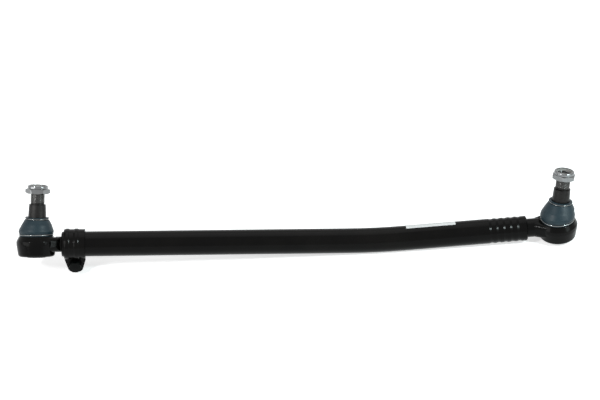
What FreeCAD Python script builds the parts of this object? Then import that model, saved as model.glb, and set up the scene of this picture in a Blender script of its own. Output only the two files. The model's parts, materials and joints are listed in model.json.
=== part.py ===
import FreeCAD, Part
import math
import os
import re

import Sketcher

# Tie rod of a heavy truck: a bent steel tube with a ball joint at each end.
# The left joint is screwed into the slotted tube end and held by a clamp.
# The right joint is crimped in for good. Lengths are in millimetres and angles in degrees.
# The rod lies along X as it rests on a floor: on the clamp's ears and on the right joint's cover.
# The origin is the middle of the right joint's cover, +X runs outward past that joint, +Z is up.

SIZES = [
    ("fit_gap", 0.05, "clearance between pieces that are pressed, screwed or crimped together"),
    ("soft_gap", 0.3, "clearance of the rubber boots from the metal"),
    ("tube_diameter", 42, "outside of the rod's tube"),
    ("tube_wall", 6, "wall of the tube"),
    ("tube_left_length", 478, "straight stretch from the slotted end to the bend"),
    ("tube_bend_radius", 1150, "bend, on the tube's axis"),
    ("tube_bend_angle", 4.8, "turn of the bend"),
    ("tube_right_length", 206, "straight stretch from the bend to the crimped end"),
    ("tube_chamfer", 1.2, "outer edge of both tube ends"),
    ("slot_width", 6, "saw slot in the clamped tube end"),
    ("slot_length", 48, "length of that slot"),
    ("crimp_count", 5, "crimped rings in the right tube end"),
    ("crimp_first", 13, "tube end to the first crimped ring"),
    ("crimp_pitch", 11.6, "spacing of the crimped rings"),
    ("crimp_width", 9, "width of a crimped ring"),
    ("crimp_depth", 1.1, "depth of a crimped ring outside"),
    ("crimp_bite", 0.7, "how far a crimped ring stands into the bore"),
    ("crimp_rounding", 5, "bottom of a crimped ring"),
    ("left_reach", 42.3, "left ball centre to the tube end"),
    ("left_neck_diameter", 26, "thread relief of the left joint"),
    ("left_neck_inset", 3, "how far that relief runs into the tube"),
    ("left_engaged", 66, "shank of the left joint inside the tube"),
    ("right_reach", 52.8, "right ball centre to the tube end"),
    ("right_neck_diameter", 31.4, "collar of the right joint"),
    ("right_engaged", 70, "shank of the right joint inside the tube"),
    ("shank_chamfer", 1.5, "inner end of both shanks"),
    ("left_roll", -30, "turn of the left joint about the tube's axis"),
    ("left_swing_across", 3.5, "how far the left stud leans about its shank's axis"),
    ("left_swing_along", 2.6, "how far it leans along the rod"),
    ("right_swing_across", 9.5, "how far the right stud leans about its shank's axis"),
    ("right_swing_along", -8, "how far it leans along the rod"),
    ("ball_diameter", 38, "ball of a stud"),
    ("ball_flat", 14, "ball centre to the flat under the ball"),
    ("ball_gap", 0.05, "running clearance of the ball in its seats"),
    ("stud_neck_diameter", 22, "neck above the ball"),
    ("stud_neck_height", 20, "top of the neck, from the ball centre"),
    ("stud_flare_height", 28, "top of the flare over the neck"),
    ("stud_neck_rounding", 2, "both ends of that flare"),
    ("taper_diameter", 30, "taper's diameter at its gauge plane"),
    ("gauge_height", 44.4, "gauge plane of the taper, from the ball centre"),
    ("taper_length", 23, "taper above the gauge plane"),
    ("taper_ratio", 10, "length of the taper for each millimetre of diameter that it loses"),
    ("thread_diameter", 24, "thread at the top of the stud"),
    ("undercut_depth", 0.6, "groove between taper and thread"),
    ("undercut_width", 3, "width of that groove"),
    ("thread_length", 26, "taper's end to the stud's end"),
    ("thread_chamfer", 1.5, "stud's end"),
    ("nut_across_flats", 36, "thin lock nut on the stud"),
    ("nut_height", 14.2, "the whole nut"),
    ("nut_hexagon_height", 8.8, "its hexagon, below the collar"),
    ("nut_collar_diameter", 33.6, "its round collar"),
    ("nut_collar_rounding", 2.4, "the collar's rolled upper edge"),
    ("nut_collar_wall", 2.35, "the collar beside the insert"),
    ("nut_lip_thickness", 1.2, "the collar's lip over the insert"),
    ("nut_lip_width", 1, "how far that lip reaches in"),
    ("insert_height", 3.4, "plastic insert in the collar"),
    ("nut_turn", 14, "how far the right nut is turned on its thread from the left one's place"),
    ("nut_overhang", 6, "stud's end below the nut's top"),
    ("nut_countersink", 1, "both mouths of the nut's thread"),
    ("seat_wall", 5.4, "wall of the ball seats beside the ball"),
    ("seat_opening_radius", 12, "smallest radius of the ball seats"),
    ("upper_seat_height", 10, "top of the upper seat, from the ball centre"),
    ("lower_seat_depth", 14.5, "bottom of the lower seat, from the ball centre"),
    ("seat_split", 0.6, "edge of each seat, from the ball's equator"),
    ("spring_thickness", 1.2, "disc spring under the lower seat"),
    ("spring_rise", 1, "height of its cone"),
    ("spring_inner_radius", 14, "disc spring"),
    ("spring_outer_radius", 21, "disc spring"),
    ("cover_thickness", 2, "pressed cover under the joint"),
    ("cover_dish", 3, "how far the cover's middle stands out"),
    ("cover_flat_radius", 15, "flat middle of the cover"),
    ("cover_slope_radius", 19.5, "outer edge of the cover's slope"),
    ("lip_thickness", 1.4, "rolled lip of the housing under the cover"),
    ("lip_overlap", 3, "how far that lip reaches over the cover's rim"),
    ("housing_radius", 33.2, "widest part of the housing"),
    ("foot_radius", 30, "housing at its lower edge, before rounding"),
    ("foot_rounding", 5, "lower edge of the housing"),
    ("belly_rounding", 20, "where the flank begins to draw in"),
    ("flank_height", 5.5, "top of the straight flank, from the ball centre"),
    ("flank_rounding", 3, "edge between flank and shoulder"),
    ("shoulder_radius", 29.2, "upper edge of the sloping shoulder"),
    ("shoulder_height", 13.4, "seat of the boot, from the ball centre"),
    ("shoulder_rounding", 1, "upper edge of the shoulder"),
    ("spigot_radius", 25, "collar that the boot sits on"),
    ("spigot_height", 17.5, "top of that collar, from the ball centre"),
    ("mouth_radius", 21.6, "housing's mouth at its top"),
    ("throat_radius", 16.6, "housing's mouth at the upper seat"),
    ("web_half_width", 25, "web between housing and neck, at the housing"),
    ("web_half_height", 12.4, "the same, up and down"),
    ("web_rounding", 7, "edges of the web"),
    ("web_overlap", 8, "end of the web past the housing's flank"),
    ("web_end_inset", 1.1, "end of the web inside the neck's surface"),
    ("web_end_flat", 2, "half of each flat left at the end of the web"),
    ("neck_bevel", 2.7, "start of the neck inside the web"),
    ("boot_base_radius", 28.2, "lower edge of the boot"),
    ("boot_belly_radius", 30, "widest part of the boot, before rounding"),
    ("boot_belly_rise", 8.4, "height of that part over the housing's shoulder"),
    ("boot_belly_rounding", 3.5, "rounding of that part"),
    ("boot_knee_radius", 28.4, "where the boot's cone begins"),
    ("boot_knee_rise", 12.1, "height of that place over the shoulder"),
    ("boot_waist_radius", 24.4, "where the cone follows the stud"),
    ("boot_waist_drop", 11.4, "that place below the boot's top"),
    ("boot_lip_radius", 20, "lip around the stud"),
    ("boot_top_height", 45.8, "top of the boot, from the ball centre"),
    ("boot_wall", 2.5, "wall of the boot"),
    ("ring_wire_radius", 1, "wire of the rings that hold the boot"),
    ("ring_split_angle", 8, "opening of those rings"),
    ("lower_ring_radius", 28, "lower ring, on its wire's middle"),
    ("lower_ring_rise", 2.8, "lower ring over the housing's shoulder"),
    ("upper_ring_radius", 18.4, "upper ring, on its wire's middle"),
    ("upper_ring_drop", 2.6, "upper ring below the boot's top"),
    ("hex_face_share", 0.96, "round face of nuts and bolt head, for each millimetre across flats"),
    ("clamp_start", 4.2, "tube end to the clamp"),
    ("clamp_width", 34.8, "clamp along the tube"),
    ("clamp_wall", 4, "clamp's band"),
    ("clamp_gap", 10, "between the clamp's ears"),
    ("rib_height", 1, "pressed ribs round the band"),
    ("rib_width", 9, "width of a rib at its foot"),
    ("rib_rounding", 2.4, "crest and foot of a rib"),
    ("first_rib", 5.2, "band's edge to the middle of the first rib"),
    ("second_rib", 20.5, "band's edge to the middle of the second rib"),
    ("ear_thickness", 7, "each ear"),
    ("ear_shoulder", 24, "tube axis to where the ears begin to narrow"),
    ("ear_foot", 48, "tube axis to the ears' lower edge"),
    ("ear_foot_half_width", 10.5, "lower edge of the ears before rounding"),
    ("ear_rounding", 9, "lower corners of the ears"),
    ("bolt_drop", 33.5, "tube axis to the clamp bolt's axis"),
    ("bolt_diameter", 12, "clamp bolt"),
    ("bolt_play", 0.5, "clearance of the bolt in ears and washers, all round"),
    ("bolt_across_flats", 18, "bolt's head and nut"),
    ("bolt_head_height", 7.5, "bolt's head"),
    ("bolt_nut_height", 10, "bolt's nut"),
    ("bolt_end", 4, "bolt's end past the nut"),
    ("bolt_chamfer", 1, "bolt's end"),
    ("washer_thickness", 2.5, "washers under head and nut"),
    ("washer_diameter", 20, "washers"),
    ("label_length", 83, "bare paper label along the tube"),
    ("label_width", 32, "label round the tube"),
    ("label_thickness", 0.2, "label"),
    ("label_inset", 3.5, "end of the bend to the label"),
    ("label_turn", -34.5, "middle of the label from the top, about the tube's axis"),
]

NAMES = {name for name, value, meaning in SIZES}

doc = FreeCAD.newDocument("tie_rod")
sheet = doc.addObject("Spreadsheet::Sheet", "sizes")
for row, (name, value, meaning) in enumerate(SIZES, start=1):
    sheet.set(f"A{row}", meaning)
    sheet.set(f"B{row}", str(value))
    sheet.setAlias(f"B{row}", name)
doc.recompute()

PARTS = []

# Radii and heights that several pieces share, as expressions of the sizes above.
BALL_RADIUS = "(ball_diameter / 2)"
TUBE_RADIUS = "(tube_diameter / 2)"
BORE_RADIUS = f"({TUBE_RADIUS} - tube_wall)"
SHANK_RADIUS = f"({BORE_RADIUS} - fit_gap)"
SEAT_RADIUS = f"({BALL_RADIUS} + seat_wall)"
CAVITY_RADIUS = f"({SEAT_RADIUS} + fit_gap)"
SPRING_TOP = "(-lower_seat_depth - fit_gap)"
COVER_TOP = f"({SPRING_TOP} - spring_thickness - spring_rise - fit_gap)"
COVER_FOOT = f"({COVER_TOP} - cover_thickness)"
BASE = f"({COVER_FOOT} - cover_dish)"
LIP_TOP = f"({COVER_FOOT} - fit_gap)"
HOUSING_FOOT = f"({LIP_TOP} - lip_thickness)"
TAPER_TOP = "(gauge_height + taper_length)"
STUD_TOP = f"({TAPER_TOP} + thread_length)"
NUT_TOP = f"({STUD_TOP} + nut_overhang)"
POCKET_TOP = f"({NUT_TOP} - nut_lip_thickness)"
POCKET_FLOOR = f"({POCKET_TOP} - insert_height - 2 * fit_gap)"
POCKET_RADIUS = "(nut_collar_diameter / 2 - nut_collar_wall)"
CLAMP_FIRST = "(left_reach + clamp_start)"
CLAMP_MIDDLE = f"({CLAMP_FIRST} + clamp_width / 2)"
CLAMP_LAST = f"({CLAMP_FIRST} + clamp_width)"
BAND_RADIUS = f"({TUBE_RADIUS} + fit_gap + clamp_wall)"
EAR_FACE = "(clamp_gap / 2 + ear_thickness)"
HEAD_SEAT = f"({EAR_FACE} + washer_thickness + 2 * fit_gap)"
RING_ROOM = "(ring_wire_radius + soft_gap)"
BELLY = "(shoulder_height + boot_belly_rise)"
KNEE = "(shoulder_height + boot_knee_rise)"
WAIST = "(boot_top_height - boot_waist_drop)"
RING_HEIGHTS = {
    "lower": "(shoulder_height + lower_ring_rise)",
    "upper": "(boot_top_height - upper_ring_drop)",
}
DISH_SHIFT = "(cover_thickness * tan(atan(cover_dish / (cover_slope_radius - cover_flat_radius)) / 2))"

# How far a cutting shape reaches past what it cuts.
PAST = 1


def bound(text):
    """The text as an expression on the sheet's cells."""
    return re.sub(r"[a-z_]+", lambda word: f"sizes.{word[0]}" if word[0] in NAMES else word[0], text)


def number(text):
    """The value of an expression of the sizes."""
    return float(sheet.evalExpression(bound(text)))


def place(x=0.0, y=0.0, z=0.0, axis=(0, 0, 1), angle=0.0):
    """A placement at a point, turned about an axis."""
    return FreeCAD.Placement(FreeCAD.Vector(x, y, z), FreeCAD.Rotation(FreeCAD.Vector(*axis), angle))


def new_body(label, placement):
    """A piece of the object, which is written to a file of its own."""
    body = doc.addObject("PartDesign::Body", label)
    body.Label = label
    body.Placement = placement
    PARTS.append(body)
    return body


def new_sketch(body, name, role="XZ_Plane"):
    """An empty sketch on one of the body's own planes."""
    sketch = body.newObject("Sketcher::SketchObject", name)
    plane = [feature for feature in body.Origin.OriginFeatures if feature.Role == role][0]
    sketch.AttachmentSupport = [(plane, "")]
    sketch.MapMode = "FlatFace"
    return sketch


def fix_point(sketch, geometry, end, across, up):
    """Hold a point of the sketch at two expressions."""
    for kind, axis, text in (("DistanceX", -2, across), ("DistanceY", -1, up)):
        if text == "0":
            sketch.addConstraint(Sketcher.Constraint("PointOnObject", geometry, end, axis))
        else:
            index = sketch.addConstraint(Sketcher.Constraint(kind, -1, 1, geometry, end, number(text)))
            sketch.setExpression(f"Constraints[{index}]", bound(text))


def fix_radius(sketch, geometry, text):
    """Hold the radius of a circle or arc at an expression."""
    index = sketch.addConstraint(Sketcher.Constraint("Radius", geometry, number(text)))
    sketch.setExpression(f"Constraints[{index}]", bound(text))


def end_at(sketch, geometry, spot):
    """Which end of an arc lies at a spot: the sketch may have turned the arc round."""
    return 1 if sketch.getPoint(geometry, 1).distanceToPoint(spot) < 1e-6 else 2


def draw_outline(sketch, corners):
    """Close an outline through corners (across, up) or (across, up, rounding)."""
    spots = [FreeCAD.Vector(number(corner[0]), number(corner[1]), 0) for corner in corners]
    enter, leave, crown = list(spots), list(spots), {}
    for here, corner in enumerate(corners):
        if len(corner) == 3:
            back = (spots[here - 1] - spots[here]).normalize()
            ahead = (spots[(here + 1) % len(spots)] - spots[here]).normalize()
            inward = (back + ahead).normalize()
            half = back.getAngle(ahead) / 2
            radius = number(corner[2])
            enter[here] = spots[here] + back * (radius / math.tan(half))
            leave[here] = spots[here] + ahead * (radius / math.tan(half))
            crown[here] = spots[here] + inward * (radius / math.sin(half) - radius)
    sides = [Part.LineSegment(leave[here - 1], enter[here]) for here in range(len(corners))]
    lines = [sketch.addGeometry(side, False) for side in sides]
    for here, corner in enumerate(corners):
        before, after = lines[here], lines[(here + 1) % len(lines)]
        if here in crown:
            arc = sketch.addGeometry(Part.Arc(enter[here], crown[here], leave[here]), False)
            first, last = end_at(sketch, arc, enter[here]), end_at(sketch, arc, leave[here])
            point = sketch.addGeometry(Part.Point(spots[here]), True)
            fix_point(sketch, point, 1, corner[0], corner[1])
            sketch.addConstraint(Sketcher.Constraint("PointOnObject", point, 1, before))
            sketch.addConstraint(Sketcher.Constraint("PointOnObject", point, 1, after))
            sketch.addConstraint(Sketcher.Constraint("Tangent", before, 2, arc, first))
            sketch.addConstraint(Sketcher.Constraint("Tangent", arc, last, after, 1))
            fix_radius(sketch, arc, corner[2])
        else:
            sketch.addConstraint(Sketcher.Constraint("Coincident", before, 2, after, 1))
            fix_point(sketch, after, 1, corner[0], corner[1])


def draw_circle(sketch, radius, across="0", up="0"):
    """A circle with its centre and radius at expressions."""
    centre = FreeCAD.Vector(number(across), number(up), 0)
    circle = sketch.addGeometry(Part.Circle(centre, FreeCAD.Vector(0, 0, 1), number(radius)), False)
    fix_point(sketch, circle, 3, across, up)
    fix_radius(sketch, circle, radius)


def revolve(body, name, corners, axis="V_Axis", cut=False):
    """Turn an outline in the XZ plane once round the body's Z (V_Axis) or X (H_Axis)."""
    sketch = new_sketch(body, name + "_outline")
    draw_outline(sketch, corners)
    feature = body.newObject("PartDesign::Groove" if cut else "PartDesign::Revolution", name)
    feature.Profile = sketch
    feature.ReferenceAxis = (sketch, [axis])
    feature.Angle = 360
    return feature


def crimp_profile(middle, radius, depth):
    """The shallow rounded V of a crimped ring round the X axis."""
    low, high = f"({middle} - crimp_width / 2)", f"({middle} + crimp_width / 2)"
    return [
        (low, radius),
        (middle, f"{radius} - {depth}", "crimp_rounding"),
        (high, radius),
        (high, f"{radius} + {PAST}"),
        (low, f"{radius} + {PAST}"),
    ]


def repeat_along_tube(body, feature, name, reverse):
    """Repeat a crimped ring along the body's X axis."""
    pattern = body.newObject("PartDesign::LinearPattern", name)
    pattern.Originals = [feature]
    pattern.Direction = (feature.Profile[0], ["H_Axis"])
    pattern.Reversed = reverse
    pattern.setExpression("Length", bound("(crimp_count - 1) * crimp_pitch"))
    pattern.setExpression("Occurrences", bound("crimp_count"))
    body.Tip = pattern


def circles_at(shape, centre, radius):
    """Names of the round edges of a shape with this centre and radius."""
    found = []
    for index, edge in enumerate(shape.Edges, start=1):
        curve = edge.Curve
        if isinstance(curve, Part.Circle) and abs(curve.Radius - radius) < 0.01:
            if curve.Center.distanceToPoint(centre) < 0.01:
                found.append(f"Edge{index}")
    return found


def chamfer_ends(body, name, centres, radius, size):
    """Bevel the round edges at these centres."""
    doc.recompute()
    base = body.Tip
    edges = [edge for centre in centres for edge in circles_at(base.Shape, centre, radius)]
    feature = body.newObject("PartDesign::Chamfer", name)
    feature.Base = (base, edges)
    feature.setExpression("Size", bound(size))


def hexagon(across_flats):
    """Corners of a hexagon with two flats facing up and down the sketch."""
    corner, half, flat = f"{across_flats} / sqrt(3)", f"{across_flats} / sqrt(12)", f"{across_flats} / 2"
    return [
        (corner, "0"), (half, flat), (f"-{half}", flat),
        (f"-{corner}", "0"), (f"-{half}", f"-{flat}"), (half, f"-{flat}"),
    ]


def hex_prism(body, across_flats, low, height):
    """A hexagonal block on the body's Z axis, both ends bevelled at 30 degrees."""
    sketch = new_sketch(body, "hexagon", "XY_Plane")
    draw_outline(sketch, hexagon(across_flats))
    sketch.setExpression("AttachmentOffset.Base.z", bound(low))
    pad = body.newObject("PartDesign::Pad", "block")
    pad.Profile = sketch
    pad.setExpression("Length", bound(height))
    inner, outer = f"{across_flats} / 2 * hex_face_share", f"({across_flats} / sqrt(3) + {PAST})"
    drop = f"({outer} - {inner}) / sqrt(3)"
    top = f"({low} + {height})"
    revolve(body, "upper_bevel", [(inner, top), (outer, top), (outer, f"{top} - {drop}")], cut=True)
    revolve(body, "lower_bevel", [(inner, low), (outer, low), (outer, f"{low} + {drop}")], cut=True)


def threaded_hole(body, low, height, radius, countersink):
    """A through hole on the Z axis with both mouths opened."""
    top = f"({low} + {height})"
    wide = f"{radius} + {countersink}"
    corners = [
        ("0", low), (wide, low), (radius, f"{low} + {countersink}"),
        (radius, f"{top} - {countersink}"), (wide, top), ("0", top),
    ]
    revolve(body, "hole", corners, cut=True)


def rest_tilt():
    """The turn about Y that sets clamp ears and right cover on one level."""
    shift, drop = number("ear_foot_half_width - ear_rounding"), number("ear_foot - ear_rounding")
    corner = LEFT.multVec(FreeCAD.Vector(number(CLAMP_MIDDLE) + shift, 0, -drop))
    across = corner.x + number("cover_flat_radius")
    up = corner.z - number(BASE)
    reach = math.hypot(across, up)
    return math.degrees(math.atan2(across, up) + math.acos(number("ear_rounding") / reach))


def left_frame():
    """Place of the left ball centre on the unbent frame of the right joint, +X along the tube."""
    turn = math.radians(number("tube_bend_angle"))
    radius, run = number("tube_bend_radius"), number("tube_left_length + left_reach")
    x = -number("right_reach + tube_right_length") - radius * math.sin(turn) - run * math.cos(turn)
    z = radius * (1 - math.cos(turn)) + run * math.sin(turn)
    return place(x, 0, z, (0, 1, 0), number("tube_bend_angle"))


def lean(side, share=1.0):
    """The turn of a stud in its housing, or a share of it."""
    across = place(axis=(1, 0, 0), angle=number(f"{side}_swing_across") * share)
    along = place(axis=(0, 1, 0), angle=number(f"{side}_swing_along") * share)
    return across * along


# Frames: ROD is the right joint's with X outward, LEFT is the clamped tube end in that frame.
# JOINTS are the two housings, each with +X towards the tube.
LEFT = left_frame()
TILT = FreeCAD.Rotation(FreeCAD.Vector(0, 1, 0), -rest_tilt())
ROD = FreeCAD.Placement(TILT.multVec(FreeCAD.Vector(0, 0, -number(BASE))), TILT)
JOINTS = {
    "left": ROD * LEFT * place(axis=(1, 0, 0), angle=number("left_roll")),
    "right": ROD * place(angle=180),
}


def make_tube():
    """The bent tube, slotted at the left and crimped at the right."""
    body = new_body("tube", ROD)
    start, turn = -number("right_reach"), math.radians(number("tube_bend_angle"))
    radius, length = number("tube_bend_radius"), number("tube_left_length")
    bend = start - number("tube_right_length")
    bend_end = FreeCAD.Vector(bend - radius * math.sin(turn), radius * (1 - math.cos(turn)), 0)
    bend_middle = FreeCAD.Vector(bend - radius * math.sin(turn / 2), radius * (1 - math.cos(turn / 2)), 0)
    far_end = bend_end + FreeCAD.Vector(-math.cos(turn), math.sin(turn), 0) * length

    path = new_sketch(body, "path")
    right = path.addGeometry(Part.LineSegment(FreeCAD.Vector(start, 0, 0), FreeCAD.Vector(bend, 0, 0)), False)
    arc = path.addGeometry(Part.Arc(FreeCAD.Vector(bend, 0, 0), bend_middle, bend_end), False)
    left = path.addGeometry(Part.LineSegment(bend_end, far_end), False)
    fix_point(path, right, 1, "-right_reach", "0")
    fix_point(path, right, 2, "-(right_reach + tube_right_length)", "0")
    arc_first = end_at(path, arc, FreeCAD.Vector(bend, 0, 0))
    path.addConstraint(Sketcher.Constraint("Tangent", right, 2, arc, arc_first))
    path.addConstraint(Sketcher.Constraint("Tangent", arc, 3 - arc_first, left, 1))
    fix_radius(path, arc, "tube_bend_radius")
    index = path.addConstraint(Sketcher.Constraint("Distance", left, length))
    path.setExpression(f"Constraints[{index}]", bound("tube_left_length"))
    index = path.addConstraint(Sketcher.Constraint("Angle", arc, turn))
    path.setExpression(f"Constraints[{index}]", bound("tube_bend_angle"))

    section = new_sketch(body, "section", "YZ_Plane")
    section.setExpression("AttachmentOffset.Base.z", bound("-right_reach"))
    draw_circle(section, TUBE_RADIUS)
    draw_circle(section, BORE_RADIUS)
    pipe = body.newObject("PartDesign::AdditivePipe", "bent_pipe")
    pipe.Profile = section
    pipe.Spine = path

    first = "(-right_reach - crimp_first)"
    ridge = revolve(body, "crimp_ridge", crimp_profile(first, BORE_RADIUS, "crimp_bite"), "H_Axis")
    repeat_along_tube(body, ridge, "crimp_ridges", True)
    crimp = revolve(body, "crimp", crimp_profile(first, TUBE_RADIUS, "crimp_depth"), "H_Axis", cut=True)
    repeat_along_tube(body, crimp, "crimps", True)

    ends = [LEFT.multVec(FreeCAD.Vector(number("left_reach"), 0, 0)), FreeCAD.Vector(start, 0, 0)]
    chamfer_ends(body, "end_bevels", ends, number(TUBE_RADIUS), "tube_chamfer")
    cut_slot(body)


def cut_slot(body):
    """The saw slot under the left tube end, with a round end."""
    start, half, low = number("left_reach") - PAST, number("slot_width / 2"), -number(TUBE_RADIUS) - PAST
    slot = body.newObject("PartDesign::SubtractiveBox", "slot")
    slot.Placement = LEFT * place(start, -half, low)
    slot.setExpression("Length", bound(f"slot_length + {PAST}"))
    slot.setExpression("Width", bound("slot_width"))
    slot.setExpression("Height", bound(f"{TUBE_RADIUS}"))
    end = body.newObject("PartDesign::SubtractiveCylinder", "slot_end")
    end.Placement = LEFT * place(number("left_reach + slot_length"), 0, low)
    end.setExpression("Radius", bound("slot_width / 2"))
    end.setExpression("Height", bound(f"{TUBE_RADIUS}"))


def make_label():
    """The bare paper label, which follows the tube's surface behind the top."""
    body = new_body("label", ROD * place(axis=(1, 0, 0), angle=number("label_turn")))
    low, high = f"{TUBE_RADIUS} + fit_gap", f"{TUBE_RADIUS} + fit_gap + label_thickness"
    first = "-(right_reach + tube_right_length - label_inset)"
    last = f"{first} + label_length"
    wrap = revolve(body, "wrap", [(first, low), (last, low), (last, high), (first, high)], "H_Axis")
    wrap.Midplane = True
    wrap.setExpression("Angle", bound(f"label_width / {TUBE_RADIUS} * 180 / pi"))


def rib(middle):
    """Corners of one pressed rib on the band, between its two feet."""
    foot, crest = BAND_RADIUS, f"{BAND_RADIUS} + rib_height"
    return [
        (f"{middle} - rib_width / 2", foot, "rib_rounding"),
        (f"{middle} - rib_width / 4", crest, "rib_rounding"),
        (f"{middle} + rib_width / 4", crest, "rib_rounding"),
        (f"{middle} + rib_width / 2", foot, "rib_rounding"),
    ]


def make_clamp():
    """The clamp: a ribbed band round the tube end with two ears under it."""
    body = new_body("clamp", ROD * LEFT)
    inner = f"{TUBE_RADIUS} + fit_gap"
    band = [(CLAMP_FIRST, inner), (CLAMP_FIRST, BAND_RADIUS)]
    band += rib(f"{CLAMP_FIRST} + first_rib") + rib(f"{CLAMP_FIRST} + second_rib")
    band += [(CLAMP_LAST, BAND_RADIUS), (CLAMP_LAST, inner)]
    revolve(body, "band", band, "H_Axis")

    ears = new_sketch(body, "ears_outline")
    draw_outline(ears, [
        (CLAMP_FIRST, f"clamp_wall - {TUBE_RADIUS}"),
        (CLAMP_FIRST, "-ear_shoulder", "ear_rounding"),
        (f"{CLAMP_MIDDLE} - ear_foot_half_width", "-ear_foot", "ear_rounding"),
        (f"{CLAMP_MIDDLE} + ear_foot_half_width", "-ear_foot", "ear_rounding"),
        (CLAMP_LAST, "-ear_shoulder", "ear_rounding"),
        (CLAMP_LAST, f"clamp_wall - {TUBE_RADIUS}"),
    ])
    pad = body.newObject("PartDesign::Pad", "ears")
    pad.Profile = ears
    pad.SideType = "Symmetric"
    pad.setExpression("Length", bound(f"2 * {EAR_FACE}"))
    before, after = f"{CLAMP_FIRST} - {PAST}", f"{CLAMP_LAST} + {PAST}"
    revolve(body, "bore", [(before, "0"), (before, inner), (after, inner), (after, "0")], "H_Axis", cut=True)

    gap = body.newObject("PartDesign::SubtractiveBox", "gap")
    gap.Placement = place(number(before), -number("clamp_gap / 2"), -number("ear_foot") - PAST)
    gap.setExpression("Length", bound(f"clamp_width + 2 * {PAST}"))
    gap.setExpression("Width", bound("clamp_gap"))
    gap.setExpression("Height", bound(f"ear_foot + {PAST}"))
    hole = body.newObject("PartDesign::SubtractiveCylinder", "bolt_hole")
    hole.Placement = place(number(CLAMP_MIDDLE), number(EAR_FACE) + PAST, -number("bolt_drop"), (1, 0, 0), 90)
    hole.setExpression("Radius", bound("bolt_diameter / 2 + bolt_play"))
    hole.setExpression("Height", bound(f"2 * ({EAR_FACE} + {PAST})"))


def bolt_frame():
    """The clamp bolt's axis: +Z points out of its head, to the front."""
    return ROD * LEFT * place(number(CLAMP_MIDDLE), 0, -number("bolt_drop"), (1, 0, 0), 90)


def make_clamp_bolt():
    """The hexagon bolt through the ears."""
    body = new_body("clamp_bolt", bolt_frame())
    hex_prism(body, "bolt_across_flats", HEAD_SEAT, "bolt_head_height")
    tail = f"(-{HEAD_SEAT} - fit_gap - bolt_nut_height - bolt_end)"
    radius, inside_head = "(bolt_diameter / 2)", f"{HEAD_SEAT} + bolt_head_height / 2"
    revolve(body, "shank", [
        ("0", inside_head), ("0", tail), (f"{radius} - bolt_chamfer", tail),
        (radius, f"{tail} + bolt_chamfer"), (radius, inside_head),
    ])


def make_clamp_nut():
    """The nut behind the ears."""
    body = new_body("clamp_nut", bolt_frame())
    low = f"(-{HEAD_SEAT} - fit_gap - bolt_nut_height)"
    hex_prism(body, "bolt_across_flats", low, "bolt_nut_height")
    threaded_hole(body, low, "bolt_nut_height", "(bolt_diameter / 2 + fit_gap)", "nut_countersink")


def make_washer(label, low):
    """A plain washer on the clamp bolt."""
    body = new_body(label, bolt_frame())
    inner, outer = "bolt_diameter / 2 + bolt_play", "washer_diameter / 2"
    top = f"{low} + washer_thickness"
    revolve(body, "ring", [(inner, low), (outer, low), (outer, top), (inner, top)])


def make_housing(side):
    """A forged housing: round bowl, web, neck and the shank inside the tube."""
    body = new_body(f"{side}_housing", JOINTS[side])
    revolve(body, "bowl", [
        ("0", HOUSING_FOOT),
        ("foot_radius", HOUSING_FOOT, "foot_rounding"),
        ("housing_radius", "0", "belly_rounding"),
        ("housing_radius", "flank_height", "flank_rounding"),
        ("shoulder_radius", "shoulder_height", "shoulder_rounding"),
        ("spigot_radius", "shoulder_height"),
        ("spigot_radius", "spigot_height"),
        ("0", "spigot_height"),
    ])
    make_web(body, side)
    neck_end = "(left_reach + left_neck_inset)" if side == "left" else "(right_reach - fit_gap)"
    neck, shank_end = f"{side}_neck_diameter / 2", f"({side}_reach + {side}_engaged)"
    neck_start = f"(lower_ring_radius + {RING_ROOM} + soft_gap)"
    revolve(body, "shank", [
        (neck_start, "0"), (neck_start, f"{neck} - neck_bevel"),
        (f"{neck_start} + neck_bevel", neck), (neck_end, neck), (neck_end, SHANK_RADIUS),
        (f"{shank_end} - shank_chamfer", SHANK_RADIUS), (shank_end, f"{SHANK_RADIUS} - shank_chamfer"),
        (shank_end, "0"),
    ], "H_Axis")
    if side == "right":
        first = "(right_reach + crimp_first)"
        bite = revolve(body, "crimp", crimp_profile(first, SHANK_RADIUS, "crimp_bite"), "H_Axis", cut=True)
        repeat_along_tube(body, bite, "crimps", False)
    below, above, lip = f"{HOUSING_FOOT} - {PAST}", f"spigot_height + {PAST}", f"{SEAT_RADIUS} - lip_overlap"
    revolve(body, "cavity", [
        ("0", below), (lip, below), (lip, LIP_TOP), (CAVITY_RADIUS, LIP_TOP),
        (CAVITY_RADIUS, "upper_seat_height + fit_gap"), ("throat_radius", "upper_seat_height + fit_gap"),
        ("mouth_radius", "spigot_height"), ("mouth_radius", above), ("0", above),
    ], cut=True)


def rounded_box(half_width, half_height, rounding):
    """Corners of a rounded rectangle about the origin."""
    return [
        (half_width, f"-{half_height}", rounding), (half_width, half_height, rounding),
        (f"-{half_width}", half_height, rounding), (f"-{half_width}", f"-{half_height}", rounding),
    ]


def make_web(body, side):
    """The web that narrows from the bowl to the neck."""
    near = new_sketch(body, "web_near", "YZ_Plane")
    near.setExpression("AttachmentOffset.Base.z", bound(BALL_RADIUS))
    draw_outline(near, rounded_box("web_half_width", "web_half_height", "web_rounding"))
    far = new_sketch(body, "web_far", "YZ_Plane")
    far.setExpression("AttachmentOffset.Base.z", bound("housing_radius + web_overlap"))
    half = f"({side}_neck_diameter / 2 - web_end_inset)"
    draw_outline(far, rounded_box(half, half, f"{half} - web_end_flat"))
    web = body.newObject("PartDesign::AdditiveLoft", "web")
    web.Profile = near
    web.Sections = [far]


def make_seat(label, side, low, high):
    """A ball seat: a ring with the ball's hollow in it."""
    body = new_body(label, JOINTS[side])
    revolve(body, "ring", [
        ("seat_opening_radius", low), (SEAT_RADIUS, low), (SEAT_RADIUS, high), ("seat_opening_radius", high),
    ])
    hollow = body.newObject("PartDesign::SubtractiveSphere", "hollow")
    hollow.setExpression("Radius", bound(f"{BALL_RADIUS} + ball_gap"))


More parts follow.
